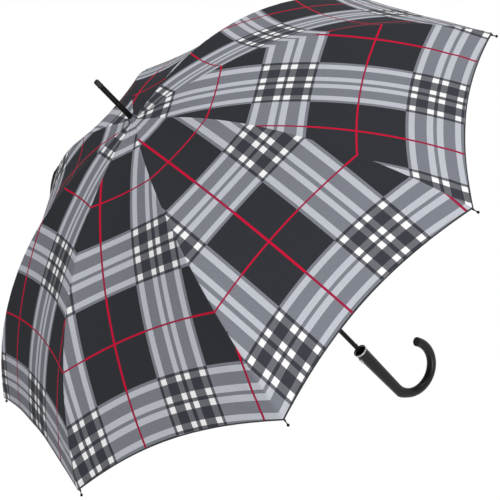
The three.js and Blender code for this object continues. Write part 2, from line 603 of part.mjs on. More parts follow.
// Two-armed lever on the latch pin: the button pushes its foot in, and its hook draws back from the runner.
const LEVER_WIDTH = 2.4;
function latchLever() {
  const foot = LATCH_PIN_Z - LATCH_ARM - 3;
  const hookZ = LATCH_PIN_Z + LATCH_ARM;
  const hook = outline([
    [-LEVER_HALF, foot], [LEVER_HALF, foot], [LEVER_HALF, hookZ - 3], [HOOK_REACH, hookZ - 2],
    [HOOK_REACH, hookZ - 0.6], [LEVER_HALF, hookZ + 2.6], [-LEVER_HALF, hookZ + 2.6],
  ]);
  const boss = disc([0, LATCH_PIN_Z], LATCH_PIN_R + 1.1, LEVER_WIDTH);
  const pinHoleHere = disc([0, LATCH_PIN_Z], LATCH_PIN_R + CLEARANCE, 2 * LEVER_WIDTH);
  return cutBy(plate(hook, LEVER_WIDTH).add(boss), [pinHoleHere]);
}
grip.add(named('latch_lever', latchLever(), BRIGHT_STEEL));
const latchPin = crossPin(LATCH_PIN_R, 2 * SHAFT_R + CLEARANCE, LATCH_PIN_Z, Math.PI / 2);
grip.add(named('latch_pin', latchPin, BRIGHT_STEEL));

export default umbrella;
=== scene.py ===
# Looks of an open automatic stick umbrella round its CAD frame. +Z points to the ferrule.
# Lengths below are in millimetres; meshes are scaled to metres when they are made.
import json
import math

import bpy
import numpy as np
from mathutils import Matrix, Vector


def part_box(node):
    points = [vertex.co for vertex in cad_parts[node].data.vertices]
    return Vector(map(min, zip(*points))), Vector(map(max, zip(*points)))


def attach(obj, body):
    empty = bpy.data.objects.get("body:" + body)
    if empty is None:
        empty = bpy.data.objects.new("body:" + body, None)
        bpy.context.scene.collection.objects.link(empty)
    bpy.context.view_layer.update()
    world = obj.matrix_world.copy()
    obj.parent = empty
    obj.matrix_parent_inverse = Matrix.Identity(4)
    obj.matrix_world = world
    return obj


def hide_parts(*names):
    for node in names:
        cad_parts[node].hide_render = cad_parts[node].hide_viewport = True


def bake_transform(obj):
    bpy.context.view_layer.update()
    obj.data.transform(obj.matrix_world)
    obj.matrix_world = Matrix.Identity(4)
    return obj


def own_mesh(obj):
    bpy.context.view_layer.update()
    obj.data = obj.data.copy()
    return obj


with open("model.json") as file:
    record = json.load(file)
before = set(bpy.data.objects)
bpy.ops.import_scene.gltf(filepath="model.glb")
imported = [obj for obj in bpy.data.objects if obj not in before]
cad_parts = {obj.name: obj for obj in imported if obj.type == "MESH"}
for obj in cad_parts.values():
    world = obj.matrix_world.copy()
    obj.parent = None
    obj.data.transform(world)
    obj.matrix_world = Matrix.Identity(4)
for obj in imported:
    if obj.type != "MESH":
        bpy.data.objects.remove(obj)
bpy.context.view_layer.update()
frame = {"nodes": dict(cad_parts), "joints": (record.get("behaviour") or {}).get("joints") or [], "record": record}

# ---------------------------------------------------------------- sizes
MM = 0.001
ARMS = 8
RECORD = frame["record"]
BODY_OF = {node: body for body, nodes in RECORD["behaviour"]["bodies"].items() for node in nodes}
SLOT_OF = {part["node"]: part["material_slot"] for part in RECORD["subparts"]}
JOINTS = {joint["name"]: joint for joint in frame["joints"]}
HINGE_R = JOINTS["rib_hinge_1"]["pos_m"][0] / MM
NOTCH_Z = JOINTS["rib_hinge_1"]["pos_m"][2] / MM
GORE_HALF = math.pi / ARMS

RIB_LENGTH = 597.0
BEND_R = RIB_LENGTH / math.radians(54.2)
CLOTH_ABOVE = 3.55  # cloth's middle above a rib's centre line
CLOTH_THICK = 0.35
CLOTH_START = 0.5
SCALLOP = 33.0
SCALLOP_GROWTH = 2.2
SAG = 8.0
HEM_EXTRA = 6.0  # the cloth's middle hangs this much lower than its threads' bow alone
HEM = 7.0
# width of the dark band along the hem: the hem's own dark thread, with painted shade of its rolled edge
HEM_EDGE = 2.6
EASED_DOWN = 230.0  # the cloth is eased in as far down as this
EASE = 34.0
GATHER_R = 22.0  # inside about this radius the cloth is gathered
STRAP_SPAN = (330.0, 505.0)  # along the third rib
STRAP_WIDTH = 15.0
SNAP_AT = 491.0
UNDERLAP = 190.0  # near the top each gore's halves overlap under its middle, this far down

BEAD_AT = 605.7  # bead on the wire tip of a rib, along the rib
BAR = 3.0
WALL = 0.55
BLADE = 1.6
EYE_R = 2.4
END_STEPS = 12  # steps round a link's or the button's round end
RIVET_R = 1.25
CHEEK = 1.0
CHEEK_OFFSET = 1.6
SHAFT_R = 4.3
SHAFT_BORE_R = 3.6
SHAFT_FOOT = -17.0
SHAFT_TOP = 687.0
LATCH_WINDOW = (61.5, 74.5)  # heights of the shaft's window for the latch's tooth
BUTTON_WINDOW = (35.0, 41.0)
WINDOW_HALF = 1.8
SLOT_ROOT_R = 7.3
SLOT_HALF = 1.1

COLLAR_Z = 55.0
GRIP_TOP_R = 11.8
GRIP_END_R = 9.6
CROOK_R = 8.7
CROOK_BEND_R = 48.0
CROOK_ARC = math.radians(212)
CROOK_AZIMUTH = math.radians(-12.4)
HANDLE_TOP = 52.6
HEEL_LENGTH = 12.0
END_ROUND = 2.0  # the crook's tip is rounded over this length
GRIP_LENGTH = 117.0
STRAIGHT = HANDLE_TOP - (COLLAR_Z - GRIP_LENGTH)
HANDLE_LENGTH = STRAIGHT + CROOK_BEND_R * CROOK_ARC
BUTTON_Z = 38.0

# Tartan: periods and half widths of its stripes, across and down a gore.
ACROSS_PERIOD = 216.0
DOWN_PERIOD = 267.5
DOWN_CENTRE = 281.0  # first whole band's centre, down from the top
ACROSS_EDGES = (2.65, 12.6, 30.8, 40.9, 46.3)
DOWN_EDGES = (3.0, 14.0, 35.0, 45.0, 51.0)
RED_HALF_ACROSS = 1.9
RED_HALF_DOWN = 1.6
# Each gore's panel is cut from the bolt with its band this far from the panel's middle.
BAND_CENTRE = {1: -84.0, 2: 36.0, 3: -93.0, 4: 19.0, 5: 63.2, 6: 83.2, 7: 10.0, 8: -17.0}
FIRST_GORE_LIFT = 70.0  # the first gore is cut this much further down the bolt than the others


# ---------------------------------------------------------------- frame curves
def rib_point(along, above=0.0):
    """Radius and height over the rib hinges, `along` the rib's centre line and `above` it."""
    slope = np.asarray(along, float) / BEND_R
    return HINGE_R + (BEND_R + above) * np.sin(slope), (BEND_R + above) * np.cos(slope) - BEND_R


def rib_azimuth(number):
    return (number - 1) * math.pi / 4


def turned_about_z(points, azimuth):
    """Rows of x, y, z turned about the shaft."""
    points = np.asarray(points, float)
    cosine, sine = math.cos(azimuth), math.sin(azimuth)
    x = points[..., 0] * cosine - points[..., 1] * sine
    y = points[..., 0] * sine + points[..., 1] * cosine
    return np.stack([x, y, points[..., 2]], -1)


def smooth_step(value, low, high):
    share = np.clip((np.asarray(value, float) - low) / (high - low), 0, 1)
    return share * share * (3 - 2 * share)


STRETCHER_HINGE = np.array([
    JOINTS["stretcher_hinge_1"]["pos_m"][0] / MM,
    JOINTS["stretcher_hinge_1"]["pos_m"][2] / MM - NOTCH_Z,
])
STRUT_HINGE = np.array([
    JOINTS["strut_hinge_1"]["pos_m"][0] / MM,
    JOINTS["strut_hinge_1"]["pos_m"][2] / MM - NOTCH_Z,
])
# A stretcher's hinge is as high over the runner's pivots as it is under the ribs'.
RUNNER_EYE = np.array([HINGE_R, 2 * STRETCHER_HINGE[1]])
SLIDER_LOW_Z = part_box("upper_slider")[0].z / MM - NOTCH_Z
SLIDER_EYE = np.array([HINGE_R, SLIDER_LOW_Z + 6])


# ---------------------------------------------------------------- mesh making
def as_piece(name, points, faces, materials, smooth=40, face_materials=None, uv=None):
    """Mesh object from millimetre points. uv holds one pair for each point, in millimetres."""
    mesh = bpy.data.meshes.new(name)
    mesh.from_pydata((np.asarray(points, float) * MM).tolist(), [], faces)
    for material in materials:
        mesh.materials.append(material)
    if face_materials is not None:
        mesh.polygons.foreach_set("material_index", np.asarray(face_materials, np.int32))
    if uv is not None:
        corners = np.zeros(len(mesh.loops), np.int32)
        mesh.loops.foreach_get("vertex_index", corners)
        layer = mesh.uv_layers.new(name="Cloth")
        layer.data.foreach_set("uv", (np.asarray(uv, float)[corners] * MM).astype(np.float32).ravel())
    soften(mesh, smooth)
    piece = bpy.data.objects.new(name, mesh)
    bpy.context.scene.collection.objects.link(piece)
    return piece


def soften(mesh, degrees):
    mesh.polygons.foreach_set("use_smooth", np.ones(len(mesh.polygons), bool))
    mesh.set_sharp_from_angle(angle=math.radians(degrees))
    mesh.update()


def merged(parts):
    """Several (points, faces) as one."""
    points, faces, start = [], [], 0
    for part_points, part_faces in parts:
        part_points = np.asarray(part_points, float)
        points.append(part_points)
        faces += [[i + start for i in face] for face in part_faces]
        start += len(part_points)
    return np.concatenate(points), faces


def swept(rings):
    """Closed solid through equal closed rings of points, capped at both ends."""
    rings = np.asarray(rings, float)
    count, sides = rings.shape[:2]
    faces = []
    for i in range(count - 1):
        for j in range(sides):
            a, b = i * sides + j, i * sides + (j + 1) % sides
            faces.append([a, b, b + sides, a + sides])
    faces.append(list(range(sides))[::-1])
    faces.append([(count - 1) * sides + j for j in range(sides)])
    return rings.reshape(-1, 3), faces


def turned(outline, segments):
    """Lathe solid from (radius, height) pairs. Points on the axis close it, or it comes back to its start."""
    angles = np.arange(segments) * 2 * math.pi / segments
    points, rows = [], []
    for radius, height in outline:
        if radius < 1e-6:
            rows.append([len(points)] * segments)
            points.append((0, 0, height))
            continue
        rows.append(list(range(len(points), len(points) + segments)))
        points += [(radius * math.cos(a), radius * math.sin(a), height) for a in angles]
    pairs = list(zip(rows, rows[1:]))
    if outline[0][0] > 1e-6:
        pairs.append((rows[-1], rows[0]))
    faces = []
    for low, high in pairs:
        for j in range(segments):
            k = (j + 1) % segments
            face = [low[j], low[k], high[k], high[j]]
            face = [v for i, v in enumerate(face) if v not in face[:i]]
            if len(face) > 2:
                faces.append(face)
    return np.array(points, float), faces


def rounded(outline, radius, steps, loop):
    """Outline with each corner cut back by `radius` and replaced by a short curve."""
    points = [np.array(p, float) for p in outline]
    count = len(points)
    made = []
    for i, corner in enumerate(points):
        if not loop and i in (0, count - 1):
            made.append(tuple(corner))
            continue
        before, after = points[i - 1] - corner, points[(i + 1) % count] - corner
        near = min(radius, 0.45 * np.linalg.norm(before), 0.45 * np.linalg.norm(after))
        start = corner + before / np.linalg.norm(before) * near
        end = corner + after / np.linalg.norm(after) * near
        for t in np.linspace(0, 1, steps + 1):
            made.append(tuple((1 - t) ** 2 * start + 2 * t * (1 - t) * corner + t * t * end))
    return made


def plate(outline, thickness, sideways=0.0):
    """Flat plate in an arm's own plane, from (radius, height) pairs."""
    half = thickness / 2
    rings = [[(x, sideways + side, z) for x, z in outline] for side in (-half, half)]
    return swept(rings)


def link_outline(inner, outer, radius):
    """Flat link with round ends about two points of the arm's plane."""
    inner, outer = np.asarray(inner, float), np.asarray(outer, float)
    facing = math.atan2(outer[1] - inner[1], outer[0] - inner[0])
    made = []
    for centre, start in ((outer, facing - math.pi / 2), (inner, facing + math.pi / 2)):
        for t in np.linspace(0, math.pi, END_STEPS + 1):
            made.append((centre[0] + radius * math.cos(start + t), centre[1] + radius * math.sin(start + t)))
    return made


def along_line(inner, outer, distance):
    inner, outer = np.asarray(inner, float), np.asarray(outer, float)
    return inner + (outer - inner) * distance / np.linalg.norm(outer - inner)


def channel_section(width=BAR, height=BAR):
    """U-shaped section that opens downwards, as (sideways, up) pairs."""
    w, h = width / 2, height / 2
    outer = rounded([(-w, -h), (-w, h), (w, h), (w, -h)], 0.8, 4, loop=False)
    hollow = [(w - WALL, -h), (w - WALL, h - WALL), (WALL - w, h - WALL), (WALL - w, -h)]
    inner = rounded(hollow, 0.4, 3, loop=False)
    return outer + inner


def rib_sweep(section, stations):
    """Section swept along the rib's curve; section's second value is its height above the centre line."""
    rings = []
    for along in stations:
        ring = []
        for sideways, up in section:
            radius, height = rib_point(along, up)
            ring.append((float(radius), sideways, float(height)))
        rings.append(ring)
    return swept(rings)


def line_sweep(section, inner, outer, stations):
    """Section swept along a straight arm, at distances from its inner end."""
    inner, outer = np.asarray(inner, float), np.asarray(outer, float)
    forward = (outer - inner) / np.linalg.norm(outer - inner)
    up = np.array([-forward[1], forward[0]])
    rings = []
    for distance in stations:
        middle = inner + forward * distance
        ring = []
        for sideways, high in section:
            radius, height = middle + up * high
            ring.append((radius, sideways, height))
        rings.append(ring)
    return swept(rings)


def circle(radius, sides):
    return [(radius * math.cos(a), radius * math.sin(a)) for a in np.arange(sides) * 2 * math.pi / sides]


def tube_along(points, radius, sides, closed=False):
    """Round wire through points in space, with rings turned as little as possible from one to the next."""
    points = np.asarray(points, float)
    if closed:
        tangents = np.roll(points, -1, 0) - np.roll(points, 1, 0)
    else:
        tangents = np.gradient(points, axis=0)
    tangents /= np.linalg.norm(tangents, axis=1)[:, None]
    normal = np.cross(tangents[0], (0.3, 0.2, 0.93))
    rings = []
    for point, tangent in zip(points, tangents):
        normal = normal - (normal @ tangent) * tangent
        normal /= np.linalg.norm(normal)
        side = np.cross(tangent, normal)
        rings.append([point + radius * (math.cos(a) * normal + math.sin(a) * side)
                      for a in np.arange(sides) * 2 * math.pi / sides])
    if not closed:
        return swept(rings)
    made, faces = swept(rings)
    faces = faces[:-2]
    last = (len(rings) - 1) * sides
    faces += [[last + j, last + (j + 1) % sides, (j + 1) % sides, j] for j in range(sides)]
    return made, faces


def ball(centre, radius):
    outline = [(radius * math.sin(t), -radius * math.cos(t)) for t in np.linspace(0, math.pi, 15)]
    points, faces = turned(outline, 24)
    return points + np.asarray(centre, float), faces


def cross_rod(radius, length, height, azimuth):
    """Round pin through the shaft, lying level, with domed ends."""
    half = length / 2
    dome = 0.3
    outline = [(0, -half), (radius * 0.6, -half + dome * 0.15), (radius, -half + dome),
               (radius, half - dome), (radius * 0.6, half - dome * 0.15), (0, half)]
    points, faces = turned(outline, 24)
    level = np.stack([points[:, 2], points[:, 0], points[:, 1] + height], -1)
    return turned_about_z(level, azimuth), faces


def block(x0, x1, y0, y1, z0, z1):
    ring = [(x0, y0), (x1, y0), (x1, y1), (x0, y1)]
    return swept([[(x, y, z) for x, y in ring] for z in (z0, z1)])


def cut(piece, parts):
    """Takes closed parts away from a piece."""
    for i, part in enumerate(parts):
        cutter = as_piece(f"cutter_{i}", *part, [])
        modifier = piece.modifiers.new("cut", "BOOLEAN")
        modifier.operation = "DIFFERENCE"
        modifier.solver = "EXACT"
        modifier.object = cutter
        evaluated = piece.evaluated_get(bpy.context.evaluated_depsgraph_get())
        mesh = bpy.data.meshes.new_from_object(evaluated)
        piece.modifiers.clear()
        piece.data = mesh
        bpy.data.objects.remove(cutter)
    soften(piece.data, 30)


def bevelled(piece, width):
    modifier = piece.modifiers.new("edges", "BEVEL")
    modifier.width = width * MM
    modifier.segments = 2
    modifier.limit_method = "ANGLE"
    modifier.angle_limit = math.radians(35)
    modifier.harden_normals = True


def stand_for(piece, node):
    """The piece takes a CAD node's place: its body and its solid."""
    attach(piece, BODY_OF[node])
    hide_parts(node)


# ---------------------------------------------------------------- materials
def linear(red, green, blue):
    """sRGB values from 0 to 255 as linear colour."""
    def one(value):
        value /= 255
        return value / 12.92 if value <= 0.04045 else ((value + 0.055) / 1.055) ** 2.4
    return (one(red), one(green), one(blue), 1)


def new_material(name):
    material = bpy.data.materials.new(name)
    material.use_nodes = True
    return material, material.node_tree, material.node_tree.nodes["Principled BSDF"]


def add_node(tree, kind, inputs=None, **settings):
    made = tree.nodes.new("ShaderNode" + kind)
    for key, value in settings.items():
        setattr(made, key, value)
    for key, value in (inputs or {}).items():
        if isinstance(value, bpy.types.NodeSocket):
            tree.links.new(value, made.inputs[key])
        else:
            made.inputs[key].default_value = value
    return made


def calc(tree, operation, *values):
    return add_node(tree, "Math", dict(enumerate(values)), operation=operation).outputs[0]


def steps_ramp(tree, factor, stops):
    """Colour ramp of flat steps, from (position, colour) pairs."""
    ramp = add_node(tree, "ValToRGB", {0: factor})
    ramp.color_ramp.interpolation = "CONSTANT"
    elements = ramp.color_ramp.elements
    elements[0].position, elements[0].color = stops[0]
    elements[1].position, elements[1].color = stops[1]
    for position, colour in stops[2:]:
        elements.new(position).color = colour
    return ramp.outputs[0]


def stripe_level(tree, coordinate, period, edges, red_half):
    """0 on the dark ground, 0.5 on a grey stripe and 1 on a light one, with the red line's mask."""
    cycle = calc(tree, "FRACT", calc(tree, "MULTIPLY_ADD", coordinate, 1 / (period * MM), 0.5))
    away = calc(tree, "ABSOLUTE", calc(tree, "SUBTRACT", cycle, 0.5))
    levels = (0.5, 1, 0.5, 1, 0.5, 0)
    positions = (0,) + tuple(edge / period for edge in edges)
    stops = [(position, (level, level, level, 1)) for position, level in zip(positions, levels)]
    red = calc(tree, "GREATER_THAN", away, 0.5 - red_half / period)
    return steps_ramp(tree, away, stops), red


def mixed(tree, factor, first, second):
    made = add_node(tree, "Mix", {0: factor, 6: first, 7: second}, data_type="RGBA")
    return made.outputs[2]


def scaled_colour(tree, colour, factor):
    return add_node(tree, "VectorMath", {0: colour, "Scale": factor}, operation="SCALE").outputs[0]


def noise(tree, vector, scale, detail, roughness=0.5):
    inputs = {"Vector": vector, "Scale": scale, "Detail": detail, "Roughness": roughness}
    return add_node(tree, "TexNoise", inputs).outputs["Fac"]


def tartan_colour(tree, place):
    """Two crossing stripe patterns over a dark ground, woven together, with fine crimson lines."""
    parts = add_node(tree, "SeparateXYZ", {0: place})
    across, red_across = stripe_level(tree, parts.outputs[0], ACROSS_PERIOD, ACROSS_EDGES, RED_HALF_ACROSS)
    down, red_down = stripe_level(tree, parts.outputs[1], DOWN_PERIOD, DOWN_EDGES, RED_HALF_DOWN)
    ground, grey, light = (52, 53, 58), (128, 131, 139), (194, 197, 205)
    grey_grey, light_grey, light_light = (62, 64, 72), (110, 111, 116), (250, 250, 251)
    table = (ground, grey, light, grey, grey_grey, light_grey, light, light_grey, light_light)
    stops = [(i / 9, linear(*colour)) for i, colour in enumerate(table)]
    index = calc(tree, "MULTIPLY_ADD", across, 2 / 9, 0.5 / 9)
    index = calc(tree, "MULTIPLY_ADD", down, 6 / 9, index)
    colour = steps_ramp(tree, index, stops)
    over_band = calc(tree, "GREATER_THAN", calc(tree, "MAXIMUM", across, down), 0.25)
    crimson = mixed(tree, over_band, linear(205, 18, 58), linear(160, 36, 70))
    return mixed(tree, calc(tree, "MAXIMUM", red_across, red_down), colour, crimson)


def weave(tree, place):
    """Fine diagonal twill with slubs, from 0 to 1."""
    parts = add_node(tree, "SeparateXYZ", {0: place})
    diagonal = calc(tree, "ADD", parts.outputs[0], parts.outputs[1])
    ribs = calc(tree, "SINE", calc(tree, "MULTIPLY", diagonal, 2 * math.pi / (0.9 * MM)))
    slubs = noise(tree, place, 900.0, 3.0)
    return calc(tree, "MULTIPLY_ADD", ribs, 0.22, slubs)


def tartan_material(name, under):
    material, tree, shader = new_material(name)
    place = add_node(tree, "UVMap", uv_map="Cloth").outputs[0]
    colour = tartan_colour(tree, place)
    threads = weave(tree, place)
    mottle = noise(tree, place, 7.0, 3.0)
    flecks = noise(tree, place, 380.0, 2.0)
    shade = calc(tree, "MULTIPLY_ADD", threads, 0.12, 0.60 if not under else 0.42)
    shade = calc(tree, "MULTIPLY_ADD", mottle, 0.08, shade)
    shade = calc(tree, "MULTIPLY_ADD", flecks, 0.26, shade)
    if under:
        colour = mixed(tree, 0.3, colour, linear(96, 98, 104))
    tree.links.new(scaled_colour(tree, colour, shade), shader.inputs["Base Color"])
    rough = calc(tree, "MULTIPLY_ADD", threads, 0.15, 0.68)
    tree.links.new(rough, shader.inputs["Roughness"])
    bump = add_node(tree, "Bump", {"Strength": 0.25, "Distance": 0.0002, "Height": threads})
    tree.links.new(bump.outputs[0], shader.inputs["Normal"])
    shader.inputs["Specular IOR Level"].default_value = 0.04
    return material


def plain_cloth(name, colour, scale=900.0):
    material, tree, shader = new_material(name)
    place = add_node(tree, "TexCoord").outputs["Object"]
    threads = noise(tree, place, scale, 3.0)
    shade = calc(tree, "MULTIPLY_ADD", threads, 0.7, 0.65)
    tree.links.new(scaled_colour(tree, add_rgb(tree, colour), shade), shader.inputs["Base Color"])
    bump = add_node(tree, "Bump", {"Strength": 0.4, "Distance": 0.0003, "Height": threads})
    tree.links.new(bump.outputs[0], shader.inputs["Normal"])
    shader.inputs["Roughness"].default_value = 0.85
    shader.inputs["Specular IOR Level"].default_value = 0.2
    shader.inputs["Sheen Weight"].default_value = 0.15
    return material


def add_rgb(tree, colour):
    made = tree.nodes.new("ShaderNodeRGB")
    made.outputs[0].default_value = linear(*colour)
    return made.outputs[0]


def hard_material(name, colour, rough, metallic, grain, wear, specular=0.5):
    """Metal or moulded plastic: fine grain in the bump, and smudges in the roughness and the colour."""
    material, tree, shader = new_material(name)
    place = add_node(tree, "TexCoord").outputs["Object"]
    fine = noise(tree, place, grain[0], 2.0)
    smudge = noise(tree, place, 55.0, 4.0, 0.6)
    shade = calc(tree, "MULTIPLY_ADD", smudge, 2 * wear, 1 - wear)
    tree.links.new(scaled_colour(tree, add_rgb(tree, colour), shade), shader.inputs["Base Color"])
    uneven = calc(tree, "MULTIPLY_ADD", smudge, rough * 0.7, rough * 0.65)
    tree.links.new(uneven, shader.inputs["Roughness"])
    bump = add_node(tree, "Bump", {"Strength": grain[1], "Distance": 0.0002, "Height": fine})
    tree.links.new(bump.outputs[0], shader.inputs["Normal"])
    shader.inputs["Metallic"].default_value = metallic
    shader.inputs["Specular IOR Level"].default_value = specular
    return material


TARTAN = tartan_material("tartan", under=False)
TARTAN_UNDER = tartan_material("tartan_underside", under=True)
# Dark cloth for the hem band and every cut edge: partly the hem's own dark thread, partly painted shade of the
# rolled hem's edge.
HEM_THREAD_AND_SHADE = plain_cloth("hem_thread_and_painted_shade", (44, 46, 50))
STRAP = plain_cloth("strap_cloth", (38, 39, 43), 700.0)
THREAD = plain_cloth("tie_thread", (30, 31, 34), 1500.0)
BLACK_STEEL = hard_material("black_steel", (8, 8, 9), 0.36, 0.0, (900.0, 0.05), 0.12, specular=0.12)
BRIGHT_STEEL = hard_material("bright_steel", (196, 198, 203), 0.24, 1.0, (1200.0, 0.06), 0.1)
CHROME = hard_material("chrome", (176, 175, 170), 0.14, 1.0, (700.0, 0.03), 0.08)
SOFT_TOUCH = hard_material("soft_touch", (14, 14, 15), 0.3, 0.0, (2200.0, 0.1), 0.08, specular=0.26)
BLACK_PLASTIC = hard_material("black_plastic", (24, 24, 26), 0.42, 0.0, (1600.0, 0.15), 0.1, specular=0.35)
SLOT_MATERIAL = {
    "canopy_cloth": TARTAN,
    "strap_cloth": STRAP,
    "black_steel": BLACK_STEEL,
    "bright_steel": BRIGHT_STEEL,
    "chrome": CHROME,
    "soft_touch_plastic": SOFT_TOUCH,
    "black_plastic": BLACK_PLASTIC,
}


def dress_cad_nodes():
    """CAD nodes that stay in view take the same finishes as the finer pieces."""
    for name, piece in frame["nodes"].items():
        piece.data.materials.clear()
        piece.data.materials.append(SLOT_MATERIAL[SLOT_OF[name]])


# ---------------------------------------------------------------- cloth
def eased(thread):
    """The tartan's own coordinate down a gore: the cloth is eased in slightly towards the top."""
    share = np.clip(np.asarray(thread, float) / EASED_DOWN, 0, 1)
    return thread - EASE * share * (1 - share)


def bolt_place(gore, share, radius, thread):
    """Where a point of a gore lay on the bolt. The cloth is gathered near the top, so more lies across."""
    across = share * np.hypot(radius, GATHER_R) * math.sin(GORE_HALF) - BAND_CENTRE[gore]
    lift = FIRST_GORE_LIFT if gore == 1 else 0
    return np.stack([across, eased(thread) - DOWN_CENTRE + lift], -1)


def gore_point(gore, share, thread, above):
    """Point of a gore: share runs from -1 at its first rib to 1 at its second. Cross threads bow and sag."""
    slack = 1 - share * share
    bow = SCALLOP * np.maximum(thread / RIB_LENGTH, 0) ** SCALLOP_GROWTH * slack
    sag = SAG * np.sin(math.pi * np.minimum(thread / RIB_LENGTH, 1)) * slack * smooth_step(thread, 0, 170)
    radius, height = rib_point(thread - bow, above - sag)
    sideways = radius * math.sin(GORE_HALF) * share
    point = np.stack([radius * math.cos(GORE_HALF), sideways, height + NOTCH_Z], -1)
    return turned_about_z(point, rib_azimuth(gore) + GORE_HALF), radius


def cloth_relief(gore, share, thread):
    """Seam dip, puckers by the seam, pull lines from the corners and gathers at the top, in millimetres."""
    radius = rib_point(thread)[0]
    from_seam = (1 - np.abs(share)) * radius * math.sin(GORE_HALF)
    side = np.where(share < 0, 0.0, 2.1) + gore * 1.7
    dip = -0.55 * np.exp(-(from_seam / 1.3) ** 2) + 0.18 * np.exp(-((from_seam - 4.2) / 1.8) ** 2)
    puckers = 0.16 * np.sin(thread * 2 * math.pi / 23 + side) * np.sin(thread * 2 * math.pi / 61 + 2 * side)
    puckers = puckers * np.exp(-from_seam / 14)
    to_corner = np.hypot(from_seam, RIB_LENGTH - thread)
    angle = np.arctan2(from_seam, RIB_LENGTH - thread + 0.01)
    pull = 0.5 * np.sin(angle * 11 + side) * np.exp(-((to_corner - 60) / 55) ** 2)
    pull = pull * smooth_step(from_seam, 0, 12)
    gathers = 0.35 * np.cos(share * math.pi * 3 + gore) * np.exp(-thread / 60) * smooth_step(from_seam, 0, 3)
    to_hem = RIB_LENGTH - thread
    hem_waves = 0.5 * np.sin(share * 9 + gore * 2.3) * np.exp(-to_hem / 30) * (1 - share * share)
    fold = 0.25 * (1 - smooth_step(to_hem, HEM - 0.5, HEM))
    stitch = -0.2 * np.exp(-((to_hem - HEM + 1.4) / 0.5) ** 2)
    return dip + puckers + pull + gathers + hem_waves + stitch, fold


def cloth_shell(middle_up, middle_down, uv, rows_edge):
    """Closed thin shell from an upper and a lower grid: (points, faces, uv, face materials)."""
    rows, columns = middle_up.shape[:2]
    count = rows * columns
    points = np.concatenate([middle_up.reshape(-1, 3), middle_down.reshape(-1, 3)])
    flat_uv = uv.reshape(-1, 2)
    index = np.arange(count).reshape(rows, columns)
    upper = np.stack([index[:-1, :-1], index[1:, :-1], index[1:, 1:], index[:-1, 1:]], -1)
    quads = upper.reshape(-1, 4)
    # kind 2 is the dark hem material on the hem band and the rims: hem thread with painted shade along the hem
    dark = np.repeat(rows_edge, columns - 1)
    faces = quads.tolist() + (quads[:, ::-1] + count).tolist()
    kinds = np.concatenate([np.where(dark, 2, 0), np.where(dark, 2, 1)]).tolist()
    border = list(index[0, ::-1]) + list(index[1:, 0]) + list(index[-1, 1:]) + list(index[-2:0:-1, -1])
    for a, b in zip(border, border[1:] + border[:1]):
        faces.append([int(b), int(a), int(a) + count, int(b) + count])
        kinds.append(2)
    return points, faces, np.concatenate([flat_uv, flat_uv]), kinds


def cloth_rows():
    body = np.linspace(CLOTH_START, RIB_LENGTH - HEM - 2, 172)
    hem = RIB_LENGTH - np.array([HEM, HEM - 0.5, HEM - 1.0, HEM - 1.4, HEM - 1.8, 3.6, HEM_EDGE, 0.9, 0.0])
    return np.concatenate([body, hem])


SEAM_SHARES = (1, 0.996, 0.992, 0.985, 0.975, 0.96, 0.94, 0.91, 0.875)
CLOTH_SHARES = np.array(SEAM_SHARES + tuple(np.linspace(0.83, 0, 18)))


def gore_shell(gore, side):
    """Half of a gore: side is -1 next to its first rib and 1 next to its second."""
    thread, share = np.meshgrid(cloth_rows(), CLOTH_SHARES[::-side] * side, indexing="ij")
    # rows in the hem's last HEM_EDGE take the dark hem material, which carries painted shade of the rolled edge
    edge_rows = thread[:-1, 0] > RIB_LENGTH - HEM_EDGE - 0.1
    relief, fold = cloth_relief(gore, share, thread)
    half = CLOTH_THICK / 2 + fold
    thread = thread + HEM_EXTRA * (1 - share * share) * smooth_step(thread, 470, RIB_LENGTH - HEM)
    upper, radius = gore_point(gore, share, thread, CLOTH_ABOVE + relief + half)
    lower, _ = gore_point(gore, share, thread, CLOTH_ABOVE + relief - half)
    uv = bolt_place(gore, share, radius, thread)
    return cloth_shell(upper, lower, uv, edge_rows)


def underlap_shell(gore):
    """Tongue of the first half that runs on under the second, near the top."""
    threads = np.linspace(CLOTH_START + 2, UNDERLAP - 4, 50)
    share = np.linspace(0, 1, 9)[None, :] * (0.85 * (1 - threads / UNDERLAP))[:, None] - 0.02
    thread = np.repeat(threads[:, None], 9, 1)
    relief, _ = cloth_relief(gore, share, thread)
    upper, radius = gore_point(gore, share, thread, CLOTH_ABOVE + relief - 0.35)
    lower, _ = gore_point(gore, share, thread, CLOTH_ABOVE + relief - 0.5)
    uv = bolt_place(gore, share, radius, thread)
    return cloth_shell(upper, lower, uv, np.zeros(len(threads) - 1, bool))


def cloth_piece(name, shells):
    points, faces, uvs, kinds, start = [], [], [], [], 0
    for shell_points, shell_faces, shell_uv, shell_kinds in shells:
        points.append(shell_points)
        faces += [[i + start for i in face] for face in shell_faces]
        uvs.append(shell_uv)
        kinds += shell_kinds
        start += len(shell_points)
    materials = [TARTAN, TARTAN_UNDER, HEM_THREAD_AND_SHADE]
    return as_piece(name, np.concatenate(points), faces, materials, 50, kinds, np.concatenate(uvs))


def half_gore(gore, side):
    rib = gore if side < 0 else gore % ARMS + 1
    shells = [gore_shell(gore, side)]
    if side < 0:
        shells.append(underlap_shell(gore))
    piece = cloth_piece(f"cloth_{gore}_near_rib_{rib}", shells)
    stand_for(piece, f"gore_{gore}_near_rib_{rib}")
    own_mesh(piece)


